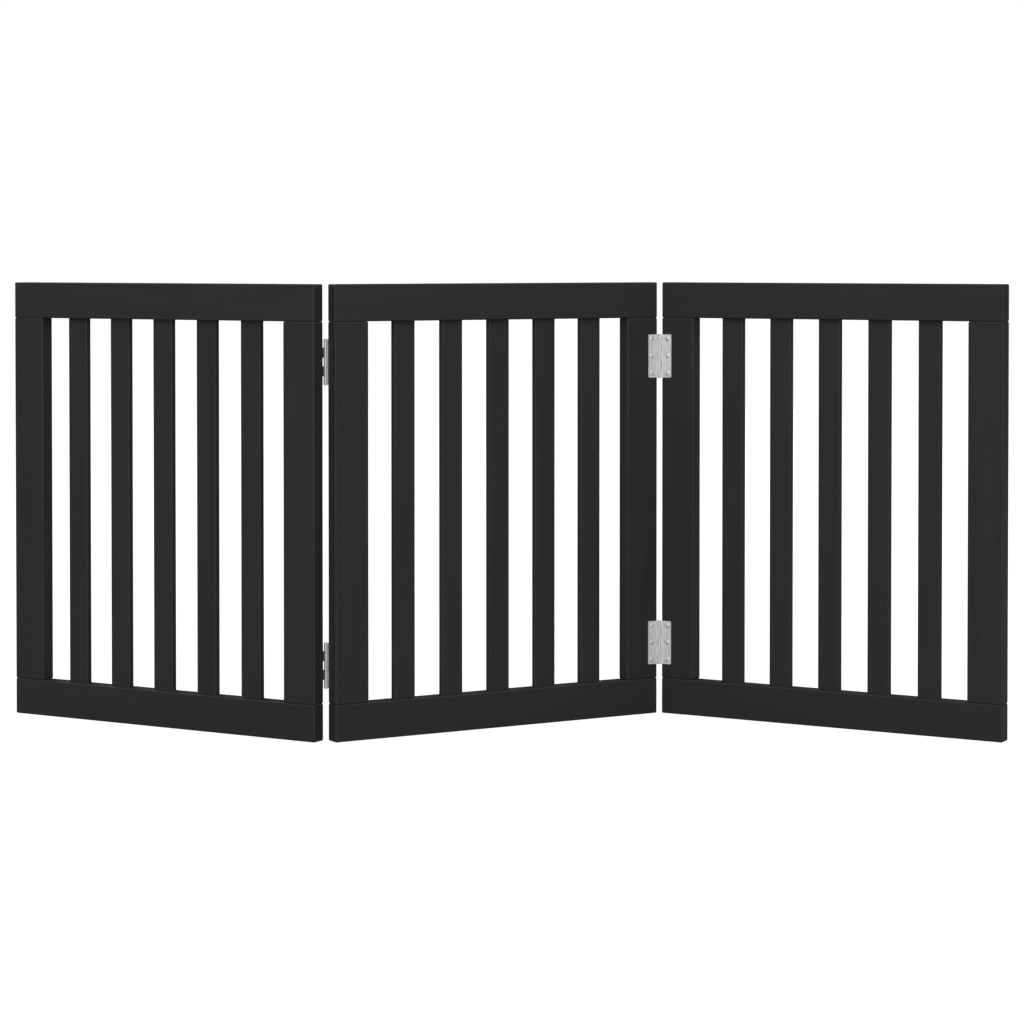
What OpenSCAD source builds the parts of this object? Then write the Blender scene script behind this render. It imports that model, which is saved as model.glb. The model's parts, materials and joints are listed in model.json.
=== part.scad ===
// Free-standing folding pet gate: three slatted wooden panels standing in a zigzag, joined by
// two pairs of steel butt hinges. All lengths are millimetres. The origin is on the floor under
// the centre of the middle panel, +X runs across the gate from left to right, +Y points to its
// back and +Z up. Each hinge sits on the inside of its fold, so the panels fold flat together.

/* [Panels] */
// Height of a panel
panel_h = 610; // [500:5:900]
// Width of a panel
panel_w = 508; // [440:2:700]
// Thickness of the rails and stiles
frame_t = 22; // [18:1:30]
// Height of the top and bottom rails
rail_h = 50; // [44:1:60]
// Width of the stiles
stile_w = 50; // [40:1:60]
// Radius of the eased edges of every board
ease_r = 2; // [1:0.5:3]
// Angle between a panel and the X axis, 0 when the gate stands flat
zigzag = 30; // [0:1:80]

/* [Slats] */
// Number of slats in a panel
slat_n = 5; // [3:1:6]
// Width of a slat
slat_w = 32; // [20:1:40]
// Thickness of a slat
slat_t = 10; // [8:1:14]
// Length of a slat's end that is housed in each rail
tenon_h = 10; // [6:1:16]

/* [Dowels] */
// Diameter of a dowel
dowel_d = 8; // [6:1:10]
// Length of a dowel
dowel_len = 40; // [30:2:40]
// Distance between the two dowels of a corner
dowel_pitch = 24; // [16:1:26]

/* [Hinges] */
// Height of a hinge
hinge_h = 61; // [57:1:90]
// Distance from the pin's axis to a leaf's free edge
leaf_reach = 17.5; // [17:0.5:28]
// Thickness of a leaf
leaf_t = 1; // [1:0.1:1.2]
// Diameter of a hinge pin
pin_d = 3; // [2.8:0.1:3.4]
// Distance along a panel from its end to the pin's axis
pin_setback = 2.1; // [1.9:0.1:4]
// Distance from the bottom rail up to a lower hinge
lower_hinge_gap = 20; // [20:0.5:80]
// Distance from the top rail down to an upper hinge
upper_hinge_gap = 23.5; // [20:0.5:80]
// Height of a knuckle on the two-knuckle leaf
long_knuckle = 13.6; // [10:0.2:15]
// Gap between neighbouring knuckles
knuckle_gap = 0.25; // [0.15:0.05:0.5]
// Gap between a middle leaf's edge and the outer leaf's knuckles
middle_notch_gap = 0.15; // [0.1:0.05:1]
// Gap between the left panel's leaves and the middle leaves' knuckles, an open window
left_notch_gap = 1.3; // [0.1:0.05:1.5]
// Gap between the right panel's leaves and the middle leaves' knuckles
right_notch_gap = 0.15; // [0.1:0.05:1.5]

/* [Screws] */
// Diameter of a screw's countersunk head
screw_head_d = 7; // [6:0.1:7.4]
// Diameter of a screw over its threads
screw_d = 3.5; // [3:0.1:3.8]
// Length of a screw
screw_len = 14; // [10:0.5:16]
// Distance from a leaf's free edge to its screws
screw_inset = 6.4; // [5:0.1:8]
// Distance between neighbouring screws of a leaf
screw_pitch = 24.3; // [16:0.1:24.5]

/* [Hidden] */
$fn = 48;
overrun = 1;

dowel_gap = 0.1;
dowel_chamfer = 1;
dowel_spare = 1;
tenon_gap = 0.2;
tenon_spare = 1;

pin_gap = 0.05;
pin_head_r = 2.3;
pin_head_h = 0.9;
bore_r = pin_d / 2 + pin_gap;
barrel_r = bore_r + leaf_t;
barrel_chord = sqrt(pow(barrel_r, 2) - pow(barrel_r - leaf_t, 2));
leaf_corner_r = 1.5;

screw_gap = 0.05;
screw_dome_h = 0.5;
screw_tip_len = 3;
thread_bite = 0.3;
recess_w = 0.9;
recess_len = 3.6;
recess_depth = 1.1;

stile_h = panel_h - 2 * rail_h;
stile_top = panel_h - rail_h;
stile_x = (panel_w - stile_w) / 2;
slat_gap = (panel_w - 2 * stile_w - slat_n * slat_w) / (slat_n + 1);
pin_x = panel_w / 2 + pin_setback;
pin_y = frame_t / 2 + barrel_r;
panel_pitch = 2 * (pin_x * cos(zigzag) + pin_y * sin(zigzag));
short_knuckle = (hinge_h - 2 * long_knuckle - 4 * knuckle_gap) / 3;
knuckle_pitch = (short_knuckle + long_knuckle) / 2 + knuckle_gap;
screw_x = leaf_reach - screw_inset;
pilot_r = screw_d / 2 - thread_bite;

PANELS = ["left", "middle", "right"];
JOINTS = ["left", "right"];
ENDS = ["left", "right"];
LEVELS = ["upper", "lower"];
SLATS = [1 : slat_n];

function rail_name(panel, place) = str(panel, "_panel_", place, "_rail");
function stile_name(panel, end) = str(panel, "_panel_", end, "_stile");
function slat_name(panel, k) = str(panel, "_panel_slat_", k);
function dowels_name(panel) = str(panel, "_panel_dowels");
function hinge_name(joint, level, piece) = str(joint, "_", level, "_hinge_", piece);

// -1 for a left end or joint, 1 for a right one.
function side(name) = name == "left" ? -1 : 1;

// Height of a hinge's centre.
function hinge_z(level) = level == "lower"
  ? rail_h + lower_hinge_gap + hinge_h / 2
  : stile_top - upper_hinge_gap - hinge_h / 2;

// The panel end that meets a joint: the middle panel's end on that side, or the outer panel's
// other end.
function hinged_end(panel, joint) = panel == "middle" ? side(joint) : -side(joint);

function meets(panel, joint) = panel == "middle" || panel == joint;

function slat_x(k) = -panel_w / 2 + stile_w + slat_gap * k + slat_w * (k - 0.5);

// Puts a piece drawn in its panel's own frame, centred under the panel, where that panel stands.
module in_panel(panel) {
  place = panel == "middle" ? 0 : side(panel);
  turn = panel == "middle" ? zigzag : -zigzag;
  translate([place * panel_pitch, 0, 0]) rotate(turn) children();
}

// Puts a piece drawn about its hinge's centre, with the leaf along +X and the leaf's outer face
// towards +Y, on one end of a panel. The left joint's hinges are behind, the right's in front.
module on_hinge(panel, joint, level) {
  end = hinged_end(panel, joint);
  face = -side(joint);
  in_panel(panel)
    translate([end * pin_x, face * pin_y, hinge_z(level)])
      mirror([end > 0 ? 1 : 0, 0, 0])
        mirror([0, face < 0 ? 1 : 0, 0])
          children();
}

module rounded_rectangle(size, r) {
  square([size.x - 2 * r, size.y], center = true);
  square([size.x, size.y - 2 * r], center = true);
  for (sx = [-1, 1], sy = [-1, 1])
    translate([sx * (size.x / 2 - r), sy * (size.y / 2 - r)]) circle(r);
}

// A board with all twelve edges eased.
module board(size) {
  intersection() {
    linear_extrude(size.z, center = true)
      rounded_rectangle([size.x, size.y], ease_r);
    rotate([90, 0, 0])
      linear_extrude(size.y, center = true) rounded_rectangle([size.x, size.z], ease_r);
    rotate([90, 0, 90])
      linear_extrude(size.x, center = true) rounded_rectangle([size.y, size.z], ease_r);
  }
}

module slat_sockets(from, depth) {
  for (k = SLATS)
    translate([slat_x(k), 0, from])
      linear_extrude(depth)
        rounded_rectangle([slat_w + 2 * tenon_gap, slat_t + 2 * tenon_gap], ease_r);
}

module dowel_holes(x, from, depth) {
  for (s = [-1, 1])
    translate([x + s * dowel_pitch / 2, 0, from])
      cylinder(d = dowel_d + 2 * dowel_gap, h = depth);
}

// The lower ends of slats and dowels stand on the floors of their holes, and the holes above
// them have a little depth to spare.
module rail(panel, place) {
  bottom = place == "bottom";
  base = bottom ? 0 : stile_top;
  socket_from = bottom ? rail_h - tenon_h : stile_top - overrun;
  socket_depth = tenon_h + overrun + (bottom ? 0 : tenon_spare);
  dowel_from = bottom ? rail_h - dowel_len / 2 : stile_top - overrun;
  dowel_depth = dowel_len / 2 + overrun + (bottom ? 0 : dowel_spare);
  color("#2f2f2f") in_panel(panel)
    difference() {
      translate([0, 0, base + rail_h / 2]) board([panel_w, frame_t, rail_h]);
      slat_sockets(socket_from, socket_depth);
      for (x = [-stile_x, stile_x]) dowel_holes(x, dowel_from, dowel_depth);
    }
}

module stile(panel, end) {
  x = side(end) * stile_x;
  half_dowel = dowel_len / 2;
  color("#2c2c2c")
    difference() {
      in_panel(panel)
        difference() {
          translate([x, 0, rail_h + stile_h / 2]) board([stile_w, frame_t, stile_h]);
          dowel_holes(x, rail_h - overrun, half_dowel + dowel_spare + overrun);
          dowel_holes(x, stile_top - half_dowel, half_dowel + overrun);
        }
      for (joint = JOINTS, level = LEVELS)
        if (meets(panel, joint) && hinged_end(panel, joint) == side(end))
          on_hinge(panel, joint, level) pilot_holes();
    }
}

module slat(panel, k) {
  color("#292929") in_panel(panel)
    translate([slat_x(k), 0, rail_h - tenon_h])
      linear_extrude(stile_h + 2 * tenon_h)
        rounded_rectangle([slat_w, slat_t], ease_r);
}

module dowels(panel) {
  r = dowel_d / 2;
  color("#c9a878") in_panel(panel)
    for (x = [-stile_x, stile_x], s = [-1, 1], joint_z = [rail_h, stile_top])
      translate([x + s * dowel_pitch / 2, 0, joint_z - dowel_len / 2])
        rotate_extrude()
          polygon([
            [0, 0],
            [r - dowel_chamfer, 0],
            [r, dowel_chamfer],
            [r, dowel_len - dowel_chamfer],
            [r - dowel_chamfer, dowel_len],
            [0, dowel_len]
          ]);
}

// Turns pieces drawn along -Z, with z = 0 at a leaf's outer face, into the three screw places.
module at_screws() {
  for (k = [-1 : 1])
    translate([screw_x, leaf_t - barrel_r, k * screw_pitch]) rotate([-90, 0, 0]) children();
}

module pilot_holes() {
  at_screws()
    translate([0, 0, -screw_len]) cylinder(r = pilot_r, h = screw_len + overrun);
}

// The countersink runs right through the thin leaf.
module countersinks() {
  r = screw_head_d / 2;
  at_screws() translate([0, 0, -leaf_t]) cylinder(r1 = r - leaf_t, r2 = r, h = leaf_t);
}

// Square at the knuckles and rounded at the free corners.
module leaf_outline() {
  translate([leaf_reach / 2, 0]) rounded_rectangle([leaf_reach, hinge_h], leaf_corner_r);
  translate([0, -hinge_h / 2]) square([leaf_reach / 2, hinge_h]);
}

// A hinge leaf with knuckles of one height at the given places. At each notch, given as
// [z, height], its edge is cut back to leave a gap where its outer face meets the other leaf's
// knuckles.
module leaf(knuckle_zs, knuckle_h, notches, notch_gap) {
  notch_w = 2 * (barrel_chord + notch_gap);
  difference() {
    union() {
      for (z = knuckle_zs)
        translate([0, 0, z]) cylinder(r = barrel_r, h = knuckle_h, center = true);
      translate([0, leaf_t - barrel_r, 0])
        rotate([90, 0, 0]) linear_extrude(leaf_t) leaf_outline();
    }
    cylinder(r = bore_r, h = hinge_h + 2 * overrun, center = true);
    for (n = notches)
      translate([0, 0, n[0]]) cube([notch_w, 2 * barrel_r + overrun, n[1]], center = true);
    countersinks();
  }
}

module middle_leaf(joint, level) {
  notch_h = long_knuckle + 2 * knuckle_gap;
  color("#b9bbbd") on_hinge("middle", joint, level)
    leaf(
      [-2 * knuckle_pitch, 0, 2 * knuckle_pitch],
      short_knuckle,
      [[-knuckle_pitch, notch_h], [knuckle_pitch, notch_h]],
      middle_notch_gap
    );
}

module outer_leaf(joint, level) {
  end_notch_h = 2 * (short_knuckle + knuckle_gap);
  color("#c3c5c7") on_hinge(joint, joint, level)
    leaf(
      [-knuckle_pitch, knuckle_pitch],
      long_knuckle,
      [
        [-hinge_h / 2, end_notch_h],
        [0, short_knuckle + 2 * knuckle_gap],
        [hinge_h / 2, end_notch_h]
      ],
      joint == "left" ? left_notch_gap : right_notch_gap
    );
}

// A low round cap of the given radius and height, flat side down.
module dome(r, h) {
  ball_r = (r * r + h * h) / (2 * h);
  intersection() {
    cylinder(r = r, h = h);
    translate([0, 0, h - ball_r]) sphere(ball_r);
  }
}

// The pin stays in the middle leaf's knuckles, held by its domed ends.
module hinge_pin(joint, level) {
  color("#d2d3d4") on_hinge("middle", joint, level) {
    cylinder(d = pin_d, h = hinge_h, center = true);
    for (end = [-1, 1])
      mirror([0, 0, end > 0 ? 0 : 1])
        translate([0, 0, hinge_h / 2]) dome(pin_head_r, pin_head_h);
  }
}

// A cross-recessed wood screw, drawn along -Z with z = 0 at the top of its countersink.
module screw() {
  head_r = screw_head_d / 2 - screw_gap;
  body_r = screw_d / 2;
  difference() {
    union() {
      dome(head_r, screw_dome_h);
      translate([0, 0, -leaf_t]) cylinder(r1 = head_r - leaf_t, r2 = head_r, h = leaf_t);
      translate([0, 0, screw_tip_len - screw_len])
        cylinder(r = body_r, h = screw_len - screw_tip_len - leaf_t / 2);
      translate([0, 0, -screw_len]) cylinder(r1 = 0, r2 = body_r, h = screw_tip_len);
    }
    for (turn = [45, 135])
      translate([0, 0, screw_dome_h])
        rotate(turn) cube([recess_len, recess_w, 2 * recess_depth], center = true);
  }
}

module leaf_screws(panel, joint, level) {
  color("#cfd0d1") on_hinge(panel, joint, level) at_screws() screw();
}

for (p = PANELS, place = ["top", "bottom"])
  rail(p, place);
for (p = PANELS, e = ENDS)
  stile(p, e);
for (p = PANELS, k = SLATS)
  slat(p, k);
for (p = PANELS)
  dowels(p);
for (j = JOINTS, v = LEVELS) {
  middle_leaf(j, v);
  outer_leaf(j, v);
  hinge_pin(j, v);
  leaf_screws("middle", j, v);
  leaf_screws(j, j, v);
}
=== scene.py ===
"""Looks of the folding pet gate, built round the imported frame.

Everything is in metres in the frame's own axes: +X runs across the gate from left to right, +Y to its
back and +Z up. Each piece stands for one CAD node, rides on that node's body and takes its place and
size from that node. A board is drawn in its own axes, with x along its length, y across its width and
z through its thickness. A hinge's pieces are drawn in the hinge's axes, with z along the pin, x along
the leaf and y out of the wood.
"""
import json
import math
import random

import bmesh
import bpy
from mathutils import Matrix, Vector

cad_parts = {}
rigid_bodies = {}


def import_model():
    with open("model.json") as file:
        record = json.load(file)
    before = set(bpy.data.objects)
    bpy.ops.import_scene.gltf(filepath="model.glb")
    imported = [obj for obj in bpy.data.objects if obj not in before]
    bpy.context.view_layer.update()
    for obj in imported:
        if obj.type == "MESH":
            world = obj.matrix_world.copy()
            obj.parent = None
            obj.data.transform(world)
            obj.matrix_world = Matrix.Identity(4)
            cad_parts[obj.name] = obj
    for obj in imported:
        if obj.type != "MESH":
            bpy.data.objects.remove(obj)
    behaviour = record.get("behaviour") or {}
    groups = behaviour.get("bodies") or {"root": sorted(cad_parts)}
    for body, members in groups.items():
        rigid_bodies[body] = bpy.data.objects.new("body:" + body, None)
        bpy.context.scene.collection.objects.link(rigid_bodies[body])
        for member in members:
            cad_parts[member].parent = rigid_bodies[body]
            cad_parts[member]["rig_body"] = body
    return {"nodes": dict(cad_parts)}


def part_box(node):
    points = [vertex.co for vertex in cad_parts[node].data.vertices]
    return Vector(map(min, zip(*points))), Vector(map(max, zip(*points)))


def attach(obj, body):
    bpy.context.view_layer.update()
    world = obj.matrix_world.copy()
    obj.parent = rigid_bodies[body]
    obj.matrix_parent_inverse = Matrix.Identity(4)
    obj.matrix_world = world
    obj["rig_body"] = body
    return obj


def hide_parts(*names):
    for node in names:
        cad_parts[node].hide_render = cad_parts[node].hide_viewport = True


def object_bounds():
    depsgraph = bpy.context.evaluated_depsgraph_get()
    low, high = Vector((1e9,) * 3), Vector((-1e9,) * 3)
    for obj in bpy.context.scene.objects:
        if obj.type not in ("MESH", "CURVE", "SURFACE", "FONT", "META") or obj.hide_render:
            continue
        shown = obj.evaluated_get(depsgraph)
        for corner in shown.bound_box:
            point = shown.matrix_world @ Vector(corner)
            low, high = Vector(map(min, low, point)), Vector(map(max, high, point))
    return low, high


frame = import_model()
cad_low, cad_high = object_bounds()

MM = 0.001
TOUCHING = 1e-7
UP = Vector((0, 0, 1))
PANELS = ("left", "middle", "right")
SIDES = ("left", "right")
LEVELS = ("upper", "lower")
SLATS = range(1, 6)

# Boards
EASE_R = 2 * MM
EASE_STEPS = 6
SLAT_END_R = 0.6 * MM
SOCKET_GAP = 0.2 * MM
SOCKET_SPARE = 1 * MM
HOLE_STEPS = 32
OVERRUN = 1 * MM

# Dowels
DOWEL_GAP = 0.1 * MM
DOWEL_SPARE = 1 * MM
DOWEL_CHAMFER = 1 * MM
DOWEL_FLUTES = 20
DOWEL_FLUTE_DEPTH = 0.25 * MM
STEPS_A_FLUTE = 6

# Hinges
LEAF_T = 1 * MM
LEAF_CORNER_R = 1.5 * MM
LEAF_BEVEL = 0.12 * MM
LONG_KNUCKLE = 13.6 * MM
KNUCKLE_GAP = 0.25 * MM
NOTCH_GAPS = {"middle": 0.15 * MM, "left": 1.3 * MM, "right": 0.15 * MM}
CURL_ANGLE = math.radians(300)
CURL_STEPS = 36
# Painted shade, from 0 to 1: on the rolled part it tones down the knuckles' highlight, on the side
# against the wood it stands for the shade behind the leaf
ROLL_PAINTED_SHADE = 0.25
BACK_PAINTED_SHADE = {"middle": 0.1, "outer": 0.85}
PIN_R = 1.5 * MM
PIN_HEAD_R = 2.3 * MM
PIN_HEAD_H = 0.9 * MM
PIN_RIM = 0.15 * MM
PIN_STEPS = 48

# Screws
SCREW_R = 1.75 * MM
SCREW_STEPS = 32
SCREW_CORE_R = 1.3 * MM
PILOT_R = 1.45 * MM
PILOT_STEPS = 20
SCREW_THREAD_PITCH = 1.6 * MM
THREAD_STEPS = 8
THREAD_HALF_W = 0.26
SCREW_TIP = 3 * MM
SCREW_POINT = 0.15
SCREW_SHANK = 0.8 * MM
SCREW_NECK = 0.3 * MM
SCREW_RIM = 0.1 * MM
SCREW_DOME_H = 0.5 * MM
SCREW_HEAD_R = 3.45 * MM
COUNTERSINK_R = 3.5 * MM
# How many degrees a driven screw may stand off the leaf's diagonals
SCREW_STRAY = 14
RECESS_DEPTH = 1.4 * MM
RECESS_REACH = 1.85 * MM
RECESS_HALF_W = 0.42 * MM
# The share of its reach and of its width that the recess keeps at its bottom
RECESS_REACH_KEPT = 0.3
RECESS_W_KEPT = 0.72

# Stage
FLOOR_SIZE = 120.0
# What the floor throws back onto the gate, and what the camera sees of it: its own glow and a share
# of the light on it, which together come just past white
FLOOR_THROWS = 0.3
FLOOR_GLOWS = 0.84
FLOOR_SHADES = 0.3
CAMERA_PLACE = Vector((0.020, -3.999, 0.651))
CAMERA_LENS = 102.48
CAMERA_SHIFT = -0.190
CAMERA_PITCH = 1.262
ROOM_TOWARDS = Vector((-0.02, -0.88, 0.46)).normalized()
ROOM_FROM, ROOM_TO = -0.35, 0.8
ROOM_LOW, ROOM_HIGH = 0.04, 1.04


# Places in the frame

def axes(x, y, z, origin):
    """The matrix that leads from axes along x, y and z, starting at origin, to the frame's own."""
    matrix = Matrix((x, y, z)).transposed().to_4x4()
    matrix.translation = origin
    return matrix


def box_in(matrix, node):
    """A CAD node's centre and size in the axes that matrix leads from."""
    inverse = matrix.inverted()
    points = [inverse @ vertex.co for vertex in frame["nodes"][node].data.vertices]
    low = Vector([min(values) for values in zip(*points)])
    high = Vector([max(values) for values in zip(*points)])
    return (low + high) / 2, high - low


def centre_of(node):
    low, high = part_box(node)
    return (low + high) / 2


def panel_axes(panel):
    """A panel's axes: x to its right, y to its back, z up, from the middle of its base."""
    left, right = (centre_of(f"{panel}_panel_{end}_stile") for end in SIDES)
    along = (right - left).normalized()
    origin = (left + right) / 2
    origin.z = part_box(f"{panel}_panel_bottom_rail")[0].z
    return axes(along, UP.cross(along), UP, origin)


def hinge_axes(panel, joint, level):
    """The axes of the leaf that a hinge has on a panel, from the middle of its pin."""
    own = panel_axes(panel)
    pin = centre_of(f"{joint}_{level}_hinge_pin")
    offset = own.inverted() @ pin
    x = own.col[0].to_3d() * math.copysign(1, -offset.x)
    y = own.col[1].to_3d() * math.copysign(1, offset.y)
    return axes(x, y, x.cross(y), pin)


def meets(panel, joint):
    return panel in ("middle", joint)


def leaf_kind(panel):
    return "middle" if panel == "middle" else "outer"


# Meshes

def link(name, mesh, matrix=Matrix.Identity(4)):
    obj = bpy.data.objects.new(name, mesh)
    bpy.context.scene.collection.objects.link(obj)
    obj.matrix_world = matrix
    return obj


def mesh_of(bm, name):
    """Turns a bmesh into a mesh and frees it."""
    bmesh.ops.recalc_face_normals(bm, faces=bm.faces)
    mesh = bpy.data.meshes.new(name)
    bm.to_mesh(mesh)
    bm.free()
    return mesh


def apply_modifiers(obj):
    graph = bpy.context.evaluated_depsgraph_get()
    obj.data = bpy.data.meshes.new_from_object(obj.evaluated_get(graph))
    obj.modifiers.clear()


def cut(obj, bm):
    """Cuts the closed shapes in a bmesh, drawn in obj's own axes, out of obj."""
    cutter = link("cutter", mesh_of(bm, "cutter"), obj.matrix_world.copy())
    modifier = obj.modifiers.new("cut", "BOOLEAN")
    modifier.operation = "DIFFERENCE"
    modifier.solver = "EXACT"
    modifier.object = cutter
    apply_modifiers(obj)
    bpy.data.objects.remove(cutter)


def tapered(bm, low_outline, low, high_outline, high):
    """Adds a closed shape to a bmesh, from an outline in x and y at height low to one at high."""
    levels = ((low_outline, low), (high_outline, high))
    rings = [[bm.verts.new((x, y, z)) for x, y in outline] for outline, z in levels]
    bm.faces.new(rings[0])
    bm.faces.new(rings[1])
    for k in range(len(low_outline)):
        n = (k + 1) % len(low_outline)
        bm.faces.new((rings[0][k], rings[0][n], rings[1][n], rings[1][k]))


def prism(bm, outline, low, high):
    """Adds a closed prism to a bmesh, with a flat outline in x and y, from height low to high."""
    tapered(bm, outline, low, outline, high)


def circle_outline(r, steps=HOLE_STEPS):
    turns = [2 * math.pi * k / steps for k in range(steps)]
    return [(r * math.cos(a), r * math.sin(a)) for a in turns]


def rounded_outline(width, height, r, steps=EASE_STEPS):
    """A rectangle about the origin with rounded corners."""
    points = []
    for quarter, (sx, sy) in enumerate([(1, 1), (-1, 1), (-1, -1), (1, -1)]):
        for k in range(steps + 1):
            a = math.pi / 2 * (quarter + k / steps)
            x = sx * (width / 2 - r) + r * math.cos(a)
            points.append((x, sy * (height / 2 - r) + r * math.sin(a)))
    return points


def turned(bm, profile, steps, radius_at=None):
    """Adds a closed shape turned about z. profile holds (radius, height) pairs from pole to pole."""
    rings = []
    for r, z in profile[1:-1]:
        ring = []
        for k in range(steps):
            a = 2 * math.pi * k / steps
            radius = radius_at(r, z, a) if radius_at else r
            ring.append(bm.verts.new((radius * math.cos(a), radius * math.sin(a), z)))
        rings.append(ring)
    low, high = (bm.verts.new((0, 0, profile[k][1])) for k in (0, -1))
    for k in range(steps):
        n = (k + 1) % steps
        bm.faces.new((low, rings[0][n], rings[0][k]))
        bm.faces.new((high, rings[-1][k], rings[-1][n]))
        for below, above in zip(rings, rings[1:]):
            bm.faces.new((below[k], below[n], above[n], above[k]))


def placed(bm, matrix, source):
    """Adds a copy of a mesh to a bmesh, moved by matrix."""
    before = set(bm.verts)
    bm.from_mesh(source)
    bmesh.ops.transform(bm, matrix=matrix, verts=[v for v in bm.verts if v not in before])


def smooth(mesh, sharp_degrees=35):
    mesh.shade_smooth()
    mesh.set_sharp_from_angle(angle=math.radians(sharp_degrees))


def set_attribute(mesh, name, kind, values):
    """Stores one value for each vertex, a number or a vector."""
    attribute = mesh.attributes.new(name, kind, "POINT")
    if kind == "FLOAT_VECTOR":
        attribute.data.foreach_set("vector", [number for value in values for number in value])
    else:
        attribute.data.foreach_set("value", values)


def random_offset(name):
    """Where in the endless grain a piece was cut from."""
    draw = random.Random(name)
    return Vector([draw.uniform(-20, 20) for _ in range(3)])


def set_grain(mesh, node, positions=None):
    """Stores where each vertex lies in the grain, from its own place or the positions given."""
    offset = random_offset(node)
    positions = positions or [v.co for v in mesh.vertices]
    set_attribute(mesh, "grain", "FLOAT_VECTOR", [p + offset for p in positions])


def finish_piece(obj, node, material):
    """Gives a piece its normals and finish, and puts it in the frame in place of its node."""
    obj.data.transform(obj.matrix_world)
    obj.matrix_world = Matrix.Identity(4)
    smooth(obj.data)
    normals = obj.modifiers.new("normals", "WEIGHTED_NORMAL")
    normals.keep_sharp = True
    obj.data.materials.clear()
    obj.data.materials.append(material)
    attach(obj, frame["nodes"][node]["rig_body"])
    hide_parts(node)


# Materials

def add_node(tree, kind, inputs=(), **settings):
    """Adds a shader node. Inputs go by name or number and are values or other nodes' outputs."""
    node = tree.nodes.new(f"ShaderNode{kind}")
    for name, value in settings.items():
        setattr(node, name, value)
    for key, value in dict(inputs).items():
        if isinstance(value, bpy.types.NodeSocket):
            tree.links.new(value, node.inputs[key])
        else:
            node.inputs[key].default_value = value
    return node


def new_material(name):
    """A material with only a Principled shader. Returns the material, its tree and the shader."""
    material = bpy.data.materials.new(name)
    material.use_nodes = True
    tree = material.node_tree
    tree.nodes.clear()
    shader = add_node(tree, "BsdfPrincipled")
    add_node(tree, "OutputMaterial", {"Surface": shader.outputs[0]})
    return material, tree, shader


def noise(tree, vector, stretch, detail=2.0, roughness=0.5, distortion=0.0):
    """Noise with about stretch features to the metre along each axis."""
    scaled = add_node(tree, "VectorMath", {0: vector, 1: stretch}, operation="MULTIPLY")
    inputs = {
        "Vector": scaled.outputs[0], "Scale": 1.0, "Detail": detail, "Roughness": roughness,
        "Distortion": distortion,
    }
    return add_node(tree, "TexNoise", inputs).outputs[0]


def ranged(tree, value, low, high, from_low=0.0, from_high=1.0):
    """value's range from from_low to from_high, stretched to low to high and held there."""
    inputs = {"Value": value, "From Min": from_low, "From Max": from_high, "To Min": low, "To Max": high}
    return add_node(tree, "MapRange", inputs).outputs[0]


def maths(tree, operation, a, b):
    return add_node(tree, "Math", {0: a, 1: b}, operation=operation).outputs[0]


def mixed(tree, factor, a, b):
    """Two colours mixed."""
    return add_node(tree, "Mix", {0: factor, 6: a, 7: b}, data_type="RGBA").outputs[2]


def bumped(tree, heights):
    """The bump of several heights in metres, each given as (pattern, height)."""
    total = 0.0
    for pattern, height in heights:
        total = maths(tree, "ADD", maths(tree, "MULTIPLY", pattern, height), total)
    return add_node(tree, "Bump", {"Height": total, "Distance": 1.0, "Strength": 1.0}).outputs[0]


def attribute(tree, name, output):
    return add_node(tree, "Attribute", attribute_name=name).outputs[output]


PAINT_COLOURS = (0.0212, 0.0212, 0.0214, 1), (0.0265, 0.0265, 0.0266, 1)
# The eased edges' colour: thinner paint there, lightened further as a painted highlight
THIN_PAINT_AND_HIGHLIGHT_COLOUR = (0.038, 0.0375, 0.037, 1)
# The colour that painted shade darkens plated steel towards
SHADED_STEEL_COLOUR = (0.10, 0.10, 0.105, 1)
BEECH_COLOURS = (0.60, 0.41, 0.23, 1), (0.46, 0.29, 0.15, 1)
FLECK_COLOUR = (0.27, 0.15, 0.07, 1)


def painted_wood():
    """Satin black paint that lets the softwood's rings and fibres show, lighter on the eased edges:
    partly thinner paint, partly a painted highlight.
    """
    material, tree, shader = new_material("painted_wood")
    grain = attribute(tree, "grain", "Vector")
    edge = attribute(tree, "edge", "Fac")
    board = noise(tree, grain, (0.6, 0.6, 0.6), detail=0.0)
    streaks = noise(tree, grain, (5, 75, 75), detail=3.0)
    fibres = noise(tree, grain, (70, 1600, 1600), detail=2.0)
    peel = noise(tree, grain, (550, 550, 550), detail=1.0)
    swirl = add_node(tree, "VectorMath", {0: grain, 1: (0.08, 1, 1)}, operation="MULTIPLY").outputs[0]
    rings = add_node(
        tree, "TexWave",
        {"Vector": swirl, "Scale": 75.0, "Distortion": 5.0, "Detail": 2.0, "Detail Scale": 0.6},
        wave_type="RINGS", rings_direction="X", wave_profile="SAW",
    ).outputs["Fac"]
    streaky = ranged(tree, streaks, -0.5, 0.5, 0.3, 0.7)
    tone = maths(tree, "ADD", streaky, ranged(tree, board, -0.3, 0.3, 0.3, 0.7))
    tone = maths(tree, "ADD", tone, ranged(tree, rings, -0.15, 0.15))
    paint = mixed(tree, ranged(tree, tone, 0, 1, -0.9, 0.9), *PAINT_COLOURS)
    # Lightens the eased edges: partly thinner paint, partly a painted highlight along each edge.
    thin = mixed(tree, maths(tree, "MULTIPLY", edge, 0.5), paint, THIN_PAINT_AND_HIGHLIGHT_COLOUR)
    tree.links.new(thin, shader.inputs["Base Color"])
    rough = ranged(tree, fibres, 0.38, 0.48, 0.3, 0.7)
    rough = maths(tree, "ADD", rough, maths(tree, "MULTIPLY", edge, -0.06))
    tree.links.new(rough, shader.inputs["Roughness"])
    shader.inputs["Specular IOR Level"].default_value = 0.12
    bump = bumped(tree, [(rings, 0.03 * MM), (fibres, 0.025 * MM), (peel, 0.012 * MM)])
    tree.links.new(bump, shader.inputs["Normal"])
    return material


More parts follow.
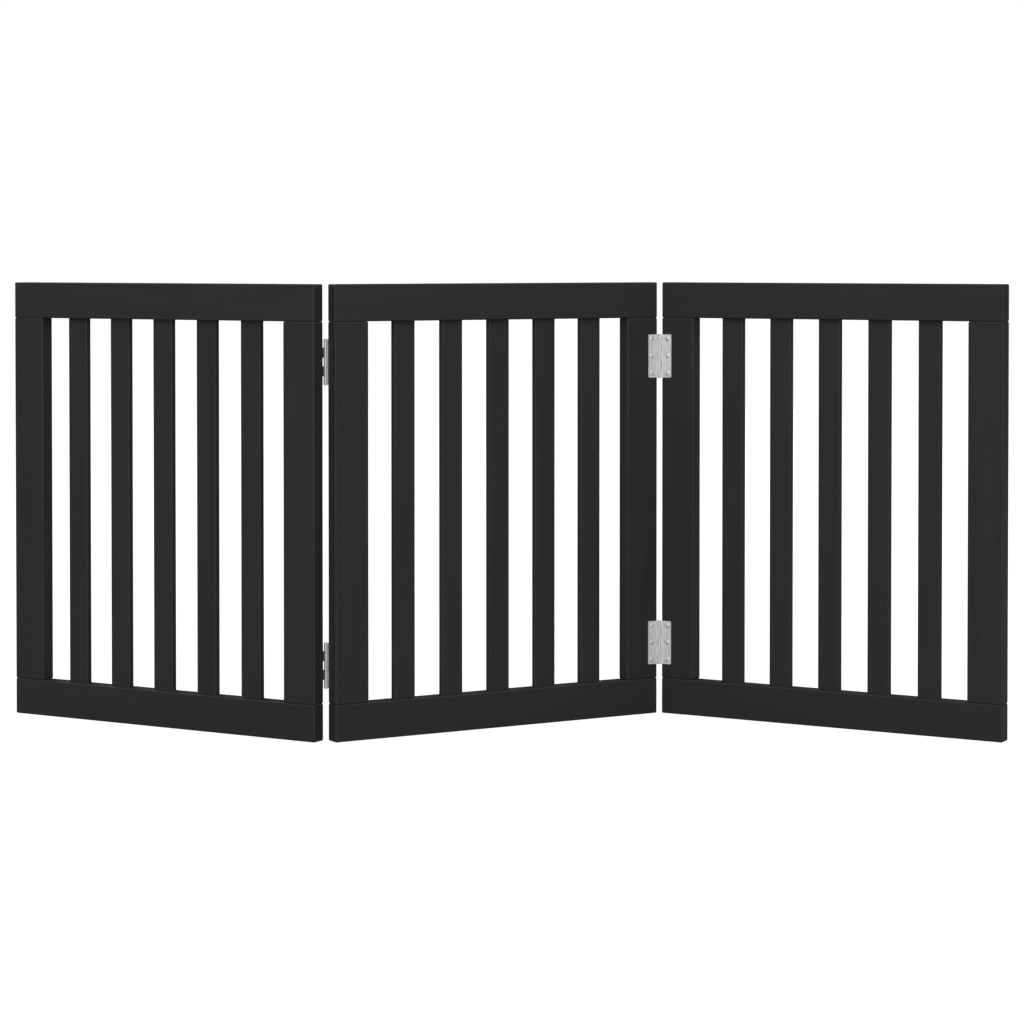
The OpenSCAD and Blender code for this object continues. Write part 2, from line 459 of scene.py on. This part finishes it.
def plated_steel(name, colours, roughness, brushing):
    """Zinc-plated steel: cloudy plating, fine brushing that follows the stretch given, small dents, and
    painted shade where a piece marks it.
    """
    material, tree, shader = new_material(name)
    grain = attribute(tree, "grain", "Vector")
    clouds = noise(tree, grain, (260, 260, 260), detail=3.0, distortion=0.6)
    brushed = noise(tree, grain, brushing, detail=2.0)
    specks = noise(tree, grain, (1500, 1500, 1500), detail=1.0)
    plating = mixed(tree, ranged(tree, clouds, 0, 1, 0.35, 0.65), *colours)
    # Painted shade: darker where the piece marks it, for the shade behind a leaf and on its rolled
    # knuckles.
    shaded_plating = mixed(tree, attribute(tree, "painted_shade", "Fac"), plating, SHADED_STEEL_COLOUR)
    tree.links.new(shaded_plating, shader.inputs["Base Color"])
    cloudy = ranged(tree, clouds, -0.04, 0.04, 0.3, 0.7)
    rough = maths(tree, "ADD", cloudy, ranged(tree, brushed, -0.05, 0.05, 0.3, 0.7))
    tree.links.new(maths(tree, "ADD", rough, roughness), shader.inputs["Roughness"])
    shader.inputs["Metallic"].default_value = 0.85
    bump = bumped(tree, [(brushed, 0.006 * MM), (specks, 0.004 * MM)])
    tree.links.new(bump, shader.inputs["Normal"])
    return material


def dowel_wood():
    """Bare beech: pale, with fine darker flecks along the grain."""
    material, tree, shader = new_material("dowel_wood")
    grain = attribute(tree, "grain", "Vector")
    streaks = noise(tree, grain, (250, 250, 25), detail=3.0)
    flecks = noise(tree, grain, (2600, 2600, 260), detail=2.0)
    wood = mixed(tree, ranged(tree, streaks, 0, 1, 0.3, 0.7), *BEECH_COLOURS)
    flecked = mixed(tree, ranged(tree, flecks, 0, 0.6, 0.58, 0.7), wood, FLECK_COLOUR)
    tree.links.new(flecked, shader.inputs["Base Color"])
    tree.links.new(ranged(tree, streaks, 0.55, 0.7, 0.3, 0.7), shader.inputs["Roughness"])
    tree.links.new(bumped(tree, [(flecks, 0.03 * MM)]), shader.inputs["Normal"])
    return material


PAINTED_WOOD = painted_wood()
DOWEL_WOOD = dowel_wood()
HINGE_STEEL = plated_steel(
    "hinge_steel", ((0.80, 0.80, 0.80, 1), (0.87, 0.87, 0.87, 1)), 0.56, (3000, 60, 3000)
)
PIN_STEEL = plated_steel(
    "pin_steel", ((0.72, 0.72, 0.73, 1), (0.80, 0.80, 0.81, 1)), 0.42, (3000, 3000, 60)
)
SCREW_STEEL = plated_steel(
    "screw_steel", ((0.76, 0.76, 0.77, 1), (0.84, 0.84, 0.85, 1)), 0.42, (900, 900, 900)
)


# Boards

ALONG_X = Matrix(((1, 0, 0), (0, 0, -1), (0, 1, 0))).to_4x4()
ALONG_Z = Matrix(((0, 1, 0), (0, 0, 1), (1, 0, 0))).to_4x4()


def block(size, long_r, end_r):
    """A block about the origin whose long edges and whose ends are rounded."""
    bm = bmesh.new()
    bmesh.ops.create_cube(bm, size=1, matrix=Matrix.Diagonal((*size, 1)))
    across = [e for e in bm.edges if abs(e.verts[0].co.x - e.verts[1].co.x) < size.x / 2]
    along = [e for e in bm.edges if e not in across]
    same = long_r == end_r
    bmesh.ops.bevel(
        bm, geom=along + across if same else along, offset=long_r, offset_type="OFFSET",
        segments=EASE_STEPS, profile=0.5, affect="EDGES",
    )
    if not same:
        ends = [e for e in bm.edges if all(abs(abs(v.co.x) - size.x / 2) < TOUCHING for v in e.verts)]
        bmesh.ops.bevel(
            bm, geom=ends, offset=end_r, offset_type="OFFSET", segments=2, profile=0.5, affect="EDGES",
        )
    return mesh_of(bm, "board")


def edge_amount(position, size, r, eased_ends):
    """0 on a board's flat faces and 1 along the middle of a rounded edge."""
    depths = [max(0.0, abs(p) - (s / 2 - r)) for p, s in zip(position, size)]
    if not eased_ends:
        depths[0] = 0.0
    depths.sort()
    return min(1.0, 2 * depths[1] * depths[2] / (r * r))


def board(node, panel, turn, cutters=None, end_r=EASE_R):
    """Builds a node's board. turn leads from the board's axes to the panel's."""
    own = panel_axes(panel)
    centre, _ = box_in(own, node)
    place = own @ Matrix.Translation(centre) @ turn
    _, size = box_in(place, node)
    obj = link(f"{node}_board", block(size, EASE_R, end_r), place)
    if cutters:
        bm = bmesh.new()
        cutters(bm)
        bmesh.ops.transform(bm, matrix=place.inverted() @ own, verts=bm.verts)
        cut(obj, bm)
    set_grain(obj.data, node)
    edges = [edge_amount(v.co, size, EASE_R, end_r == EASE_R) for v in obj.data.vertices]
    set_attribute(obj.data, "edge", "FLOAT", edges)
    finish_piece(obj, node, PAINTED_WOOD)


def shifted(outline, x, y=0.0):
    return [(px + x, py + y) for px, py in outline]


def dowel_sizes(panel):
    """A panel's dowels: diameter, length, the four places along the panel, the two joint heights."""
    own = panel_axes(panel)
    _, size = box_in(own, f"{panel}_panel_dowels")
    stile, stile_size = box_in(own, f"{panel}_panel_right_stile")
    diameter = size.y
    half_pitch = size.x / 2 - stile.x - diameter / 2
    places = [s * stile.x + t * half_pitch for s in (-1, 1) for t in (-1, 1)]
    joints = [stile.z - stile_size.z / 2, stile.z + stile_size.z / 2]
    return diameter, size.z - stile_size.z, places, joints


def cut_dowel_holes(bm, panel):
    """Adds the holes for a panel's dowels, each a little deeper than its dowel at the upper end."""
    diameter, length, places, joints = dowel_sizes(panel)
    for x in places:
        for z in joints:
            outline = shifted(circle_outline(diameter / 2 + DOWEL_GAP), x)
            prism(bm, outline, z - length / 2, z + length / 2 + DOWEL_SPARE)


def rail(panel, place):
    node = f"{panel}_panel_{place}_rail"
    own = panel_axes(panel)

    def cutters(bm):
        cut_dowel_holes(bm, panel)
        for k in SLATS:
            centre, size = box_in(own, f"{panel}_panel_slat_{k}")
            outline = rounded_outline(size.x + 2 * SOCKET_GAP, size.y + 2 * SOCKET_GAP, EASE_R)
            low, high = centre.z - size.z / 2, centre.z + size.z / 2
            prism(bm, shifted(outline, centre.x), low, high + SOCKET_SPARE)

    board(node, panel, ALONG_X, cutters)


def stile(panel, end):
    node = f"{panel}_panel_{end}_stile"
    own = panel_axes(panel)
    stile_x = box_in(own, node)[0].x

    def cutters(bm):
        cut_dowel_holes(bm, panel)
        for joint in SIDES:
            for level in LEVELS:
                if not meets(panel, joint):
                    continue
                hinge = hinge_axes(panel, joint, level)
                if (own.inverted() @ hinge.translation).x * stile_x < 0:
                    continue
                for matrix, length in screw_places(panel, joint, level):
                    pilot = bmesh.new()
                    prism(pilot, circle_outline(PILOT_R, PILOT_STEPS), -length, OVERRUN)
                    hole = mesh_of(pilot, "pilot")
                    placed(bm, own.inverted() @ hinge @ matrix, hole)

    board(node, panel, ALONG_Z, cutters)


def dowels(panel):
    """Fluted dowels with chamfered ends."""
    node = f"{panel}_panel_dowels"
    diameter, length, places, joints = dowel_sizes(panel)
    r, c = diameter / 2, DOWEL_CHAMFER

    def fluted(radius, z, angle):
        depth = DOWEL_FLUTE_DEPTH * max(0.0, math.cos(DOWEL_FLUTES * angle)) ** 2
        return min(radius, r - depth)

    shape = bmesh.new()
    profile = [(0, 0), (r - c, 0), (r - c / 3, c / 2), (r, c * 1.2)]
    profile += [(radius, length - z) for radius, z in reversed(profile)]
    turned(shape, profile, DOWEL_FLUTES * STEPS_A_FLUTE, fluted)
    mesh = mesh_of(shape, "dowel")
    bm = bmesh.new()
    for x in places:
        for z in joints:
            placed(bm, Matrix.Translation((x, 0, z - length / 2)), mesh)
    obj = link(f"{node}_set", mesh_of(bm, "dowels"), panel_axes(panel))
    set_grain(obj.data, node)
    finish_piece(obj, node, DOWEL_WOOD)


# Hinges

def hinge_sizes(panel, joint, level):
    """A leaf's barrel radius, reach and height, from its node."""
    node = f"{joint}_{level}_hinge_{leaf_kind(panel)}_leaf"
    hinge = hinge_axes(panel, joint, level)
    centre, size = box_in(hinge, node)
    height = box_in(hinge, f"{joint}_{level}_hinge_middle_leaf")[1].z
    return size.x / 2 - centre.x, size.x / 2 + centre.x, height


def screw_places(panel, joint, level):
    """(matrix, length) for each screw of a leaf. The matrix leads from the screw's axes, where its head
    is towards +z, to the hinge's."""
    hinge = hinge_axes(panel, joint, level)
    centre, size = box_in(hinge, f"{joint}_{level}_hinge_{leaf_kind(panel)}_screws")
    top = centre.y + size.y / 2 - SCREW_DOME_H
    pitch = (size.z - 2 * SCREW_HEAD_R) / 2
    upright = Matrix.Rotation(math.radians(-90), 4, "X")
    return [
        (Matrix.Translation((centre.x, top, k * pitch)) @ upright, size.y - SCREW_DOME_H)
        for k in (-1, 0, 1)
    ]


def rolled(point, barrel_r):
    """Where a point of the flat stamping goes when the sheet is rolled. The stamping has x along the
    sheet with 0 where the roll starts, y along the pin and z through the sheet."""
    u, v, w = point
    if u <= 0:
        return Vector((-u, w - barrel_r, v))
    angle = -math.pi / 2 - u / (barrel_r - LEAF_T / 2)
    return Vector(((barrel_r - w) * math.cos(angle), (barrel_r - w) * math.sin(angle), v))


def stamping(reach, height, barrel_r, notches, notch_x, screw_x, screw_pitch):
    """The leaf as a flat sheet with its notches and countersinks: its free edge is at -reach and its
    knuckles are past 0."""
    curl = CURL_ANGLE * (barrel_r - LEAF_T / 2)
    stations = [-reach, -notch_x] + [curl * k / CURL_STEPS for k in range(CURL_STEPS + 1)]
    bm = bmesh.new()
    section = ((-1, 0), (1, 0), (1, LEAF_T), (-1, LEAF_T))
    rows = [[bm.verts.new((u, s * height / 2, w)) for s, w in section] for u in stations]
    for row, following in zip(rows, rows[1:]):
        for k in range(4):
            n = (k + 1) % 4
            bm.faces.new((row[k], row[n], following[n], following[k]))
    bm.faces.new(rows[0])
    bm.faces.new(rows[-1])
    free = [e for e in bm.edges if all(abs(v.co.x + reach) < TOUCHING for v in e.verts)]
    corners = [e for e in free if abs(e.verts[0].co.z - e.verts[1].co.z) > LEAF_T / 2]
    bmesh.ops.bevel(
        bm, geom=corners, offset=LEAF_CORNER_R, offset_type="OFFSET", segments=6, profile=0.5,
        affect="EDGES",
    )
    obj = link("stamping", mesh_of(bm, "stamping"))
    holes = bmesh.new()
    for low, high in notches:
        outline = [(-notch_x, low), (curl + OVERRUN, low), (curl + OVERRUN, high), (-notch_x, high)]
        prism(holes, outline, -OVERRUN, LEAF_T + OVERRUN)
    for k in (-1, 0, 1):
        centre = (-screw_x, k * screw_pitch)
        inner = shifted(circle_outline(COUNTERSINK_R - LEAF_T - OVERRUN), *centre)
        outer = shifted(circle_outline(COUNTERSINK_R + OVERRUN), *centre)
        tapered(holes, inner, -OVERRUN, outer, LEAF_T + OVERRUN)
    cut(obj, holes)
    bevel = obj.modifiers.new("bevel", "BEVEL")
    bevel.width = LEAF_BEVEL
    bevel.segments = 2
    bevel.limit_method = "ANGLE"
    bevel.angle_limit = math.radians(30)
    apply_modifiers(obj)
    return obj


def painted_shade_at(point, kind):
    """How much painted shade darkens a point of a flat stamping: a little where the sheet is rolled, to
    tone down its highlight, and up to its leaf's BACK_PAINTED_SHADE on the side against the wood, in its
    shade."""
    if point.x > 0:
        return ROLL_PAINTED_SHADE
    return BACK_PAINTED_SHADE[kind] * (1 - min(1.0, point.z / LEAF_T))


def leaf(panel, joint, level):
    """A hinge leaf: stamped flat, then rolled round the pin so that a thin seam stays open."""
    kind = leaf_kind(panel)
    node = f"{joint}_{level}_hinge_{kind}_leaf"
    hinge = hinge_axes(panel, joint, level)
    barrel_r, reach, height = hinge_sizes(panel, joint, level)
    short = (height - 2 * LONG_KNUCKLE - 4 * KNUCKLE_GAP) / 3
    pitch = (short + LONG_KNUCKLE) / 2 + KNUCKLE_GAP
    reach_over = height / 2 + OVERRUN
    if kind == "middle":
        half = LONG_KNUCKLE / 2 + KNUCKLE_GAP
        notches = [(s * pitch - half, s * pitch + half) for s in (-1, 1)]
    else:
        half = short / 2 + KNUCKLE_GAP
        end = height / 2 - short - KNUCKLE_GAP
        notches = [(-reach_over, -end), (-half, half), (end, reach_over)]
    places = [matrix.translation for matrix, _ in screw_places(panel, joint, level)]
    notch_x = math.sqrt(barrel_r ** 2 - (barrel_r - LEAF_T) ** 2) + NOTCH_GAPS[panel]
    obj = stamping(reach, height, barrel_r, notches, notch_x, places[0].x, places[2].z)
    obj.name = f"{node}_plate"
    flat = [v.co.copy() for v in obj.data.vertices]
    for vertex, point in zip(obj.data.vertices, flat):
        vertex.co = rolled(point, barrel_r)
    set_grain(obj.data, node, flat)
    # Marks painted shade on the rolled part and on the side against the wood.
    set_attribute(obj.data, "painted_shade", "FLOAT", [painted_shade_at(p, kind) for p in flat])
    obj.matrix_world = hinge
    finish_piece(obj, node, HINGE_STEEL)


def dome_profile(r, h, base, steps=6):
    """(radius, height) pairs up a low round cap, from just inside its rim to its pole."""
    ball_r = (r * r + h * h) / (2 * h)
    reach = math.asin(r / ball_r)
    angles = [reach * (1 - k / steps) for k in range(1, steps + 1)]
    return [(ball_r * math.sin(a), base + h - ball_r + ball_r * math.cos(a)) for a in angles]


def pin(joint, level):
    """A pin with its two ends headed over in low domes."""
    node = f"{joint}_{level}_hinge_pin"
    hinge = hinge_axes("middle", joint, level)
    half = box_in(hinge, node)[1].z / 2 - PIN_HEAD_H
    rim = PIN_RIM
    upper = [(PIN_R, half - rim), (PIN_R, half), (PIN_HEAD_R - rim, half), (PIN_HEAD_R, half + rim)]
    upper += dome_profile(PIN_HEAD_R, PIN_HEAD_H - rim, half + rim)
    profile = [(r, -z) for r, z in reversed(upper)] + upper
    bm = bmesh.new()
    turned(bm, profile, PIN_STEPS)
    obj = link(f"{node}_rod", mesh_of(bm, "pin"), hinge)
    set_grain(obj.data, node)
    finish_piece(obj, node, PIN_STEEL)


def cross_outline(reach_share, w_share):
    """The outline of the cross recess, with its arms' reach and width scaled."""
    reach, half = RECESS_REACH * reach_share, RECESS_HALF_W * w_share
    outline = []
    for quarter in range(4):
        turn = Matrix.Rotation(math.pi / 2 * quarter, 2)
        outline += [turn @ Vector(p) for p in ((reach, -half), (reach, half), (half, half))]
    return outline


def screw_mesh(length):
    """A countersunk cross-recessed wood screw along -z, with z = 0 at the top of its countersink."""
    step = SCREW_THREAD_PITCH / THREAD_STEPS
    thread_top = -LEAF_T - SCREW_SHANK
    core = [(0, -length)]
    z = -length + step
    while z < thread_top:
        core.append((SCREW_CORE_R * min(1, SCREW_POINT + (z + length) / SCREW_TIP), z))
        z += step
    neck = [(SCREW_R, thread_top), (SCREW_R, -LEAF_T - SCREW_NECK), (SCREW_HEAD_R - LEAF_T, -LEAF_T)]
    rim = SCREW_RIM
    head = [(SCREW_HEAD_R - rim, -rim), (SCREW_HEAD_R, 0), (SCREW_HEAD_R - rim, rim)]
    dome = dome_profile(SCREW_HEAD_R - rim, SCREW_DOME_H - rim, rim, 8)

    def threaded(radius, z, angle):
        if z > thread_top - step / 2:
            return radius
        phase = (z / SCREW_THREAD_PITCH - angle / (2 * math.pi)) % 1
        ridge = max(0.0, 1 - abs(phase - 0.5) / THREAD_HALF_W)
        grown = min(1.0, (z + length) / SCREW_TIP)
        faded = min(1.0, (thread_top - z) / SCREW_THREAD_PITCH)
        return radius + (SCREW_R - SCREW_CORE_R) * ridge * grown * faded

    bm = bmesh.new()
    turned(bm, core + neck + head + dome, SCREW_STEPS, threaded)
    obj = link("screw", mesh_of(bm, "screw"))
    cutter = bmesh.new()
    top, bottom = cross_outline(1, 1), cross_outline(RECESS_REACH_KEPT, RECESS_W_KEPT)
    tapered(cutter, top, SCREW_DOME_H + OVERRUN / 2, bottom, SCREW_DOME_H - RECESS_DEPTH)
    cut(obj, cutter)
    mesh = obj.data
    bpy.data.objects.remove(obj)
    return mesh


def screws(panel, joint, level, mesh):
    """The three screws of a leaf, each driven to its own angle."""
    node = f"{joint}_{level}_hinge_{leaf_kind(panel)}_screws"
    draw = random.Random(node)
    bm = bmesh.new()
    for matrix, _ in screw_places(panel, joint, level):
        turn = Matrix.Rotation(math.radians(45 + draw.uniform(-SCREW_STRAY, SCREW_STRAY)), 4, "Z")
        placed(bm, matrix @ turn, mesh)
    obj = link(f"{node}_set", mesh_of(bm, "screws"), hinge_axes(panel, joint, level))
    set_grain(obj.data, node)
    finish_piece(obj, node, SCREW_STEEL)


def build_gate():
    for panel in PANELS:
        for place in ("top", "bottom"):
            rail(panel, place)
        for end in SIDES:
            stile(panel, end)
        for k in SLATS:
            board(f"{panel}_panel_slat_{k}", panel, ALONG_Z, end_r=SLAT_END_R)
        dowels(panel)
    screw = screw_mesh(screw_places("middle", "left", "upper")[0][1])
    for joint in SIDES:
        for level in LEVELS:
            pin(joint, level)
            for panel in ("middle", joint):
                leaf(panel, joint, level)
                screws(panel, joint, level, screw)


build_gate()


# Stage

def add_floor():
    bm = bmesh.new()
    bmesh.ops.create_grid(bm, x_segments=8, y_segments=8, size=FLOOR_SIZE / 2)
    floor = link("floor", mesh_of(bm, "floor"), Matrix.Translation((0, 0, cad_low.z)))
    material = bpy.data.materials.new("floor")
    material.use_nodes = True
    tree = material.node_tree
    tree.nodes.clear()
    throws = add_node(tree, "BsdfDiffuse", {"Color": (*[FLOOR_THROWS] * 3, 1)})
    glow = add_node(tree, "Emission", {"Color": (1, 1, 1, 1), "Strength": FLOOR_GLOWS})
    shaded = add_node(tree, "BsdfDiffuse", {"Color": (*[FLOOR_SHADES] * 3, 1)})
    shows = add_node(tree, "AddShader", {0: glow.outputs[0], 1: shaded.outputs[0]})
    seen = add_node(tree, "LightPath").outputs["Is Camera Ray"]
    both = add_node(tree, "MixShader", {0: seen, 1: throws.outputs[0], 2: shows.outputs[0]})
    add_node(tree, "OutputMaterial", {"Surface": both.outputs[0]})
    floor.data.materials.append(material)


def add_light(name, kind, aim_from, energy, size, glossy=True):
    """A light at aim_from, turned to the gate's middle. size is an area's side or a sun's spread.
    Without glossy it makes no reflections."""
    data = bpy.data.lights.new(name, kind)
    data.energy = energy
    if kind == "AREA":
        data.size = size
    else:
        data.angle = size
    light = bpy.data.objects.new(name, data)
    bpy.context.scene.collection.objects.link(light)
    light.location = aim_from
    middle = (cad_low + cad_high) / 2
    light.rotation_euler = (middle - Vector(aim_from)).to_track_quat("-Z", "Y").to_euler()
    light.visible_camera = False
    light.visible_glossy = glossy


def add_world():
    """White behind the gate, and a soft room light that is stronger from the front and above."""
    world = bpy.data.worlds.new("room")
    bpy.context.scene.world = world
    world.use_nodes = True
    tree = world.node_tree
    tree.nodes.clear()
    direction = add_node(tree, "TexCoord").outputs["Generated"]
    towards = add_node(tree, "VectorMath", {0: direction, 1: ROOM_TOWARDS}, operation="DOT_PRODUCT")
    strength = ranged(tree, towards.outputs["Value"], ROOM_LOW, ROOM_HIGH, ROOM_FROM, ROOM_TO)
    room = add_node(tree, "Background", {"Color": (1, 1, 1, 1), "Strength": strength})
    backdrop = add_node(tree, "Background", {"Color": (1, 1, 1, 1), "Strength": 1.0})
    seen = add_node(tree, "LightPath").outputs["Is Camera Ray"]
    both = add_node(tree, "MixShader", {0: seen, 1: room.outputs[0], 2: backdrop.outputs[0]})
    add_node(tree, "OutputWorld", {"Surface": both.outputs[0]})


def add_camera():
    """The photograph's view: nearly level, from the front, with the framing taken up by the shift."""
    data = bpy.data.cameras.new("camera")
    data.sensor_width = 36
    data.lens = CAMERA_LENS
    data.shift_y = CAMERA_SHIFT
    data.clip_end = 200
    camera = bpy.data.objects.new("camera", data)
    bpy.context.scene.collection.objects.link(camera)
    camera.location = CAMERA_PLACE
    camera.rotation_euler = (math.radians(90 - CAMERA_PITCH), 0, 0)
    bpy.context.scene.camera = camera


add_floor()
add_world()
add_light("key", "AREA", (-0.7, -5.8, 6.2), 168, 2.9)
add_light("fill", "AREA", (0.6, -7.0, 1.3), 84, 3.0)
add_light("back_left", "AREA", (-3.4, 5.0, 5.0), 90, 2.5)
add_light("back_right", "AREA", (3.4, 5.0, 5.0), 90, 2.5)
# Reflected, this low light would draw bright lines along the bottom rails in the photograph's view.
add_light("back_fill", "SUN", (0, 7.0, 1.5), 1.8, 0.5, glossy=False)
add_camera()
bpy.context.scene.view_settings.view_transform = "Standard"
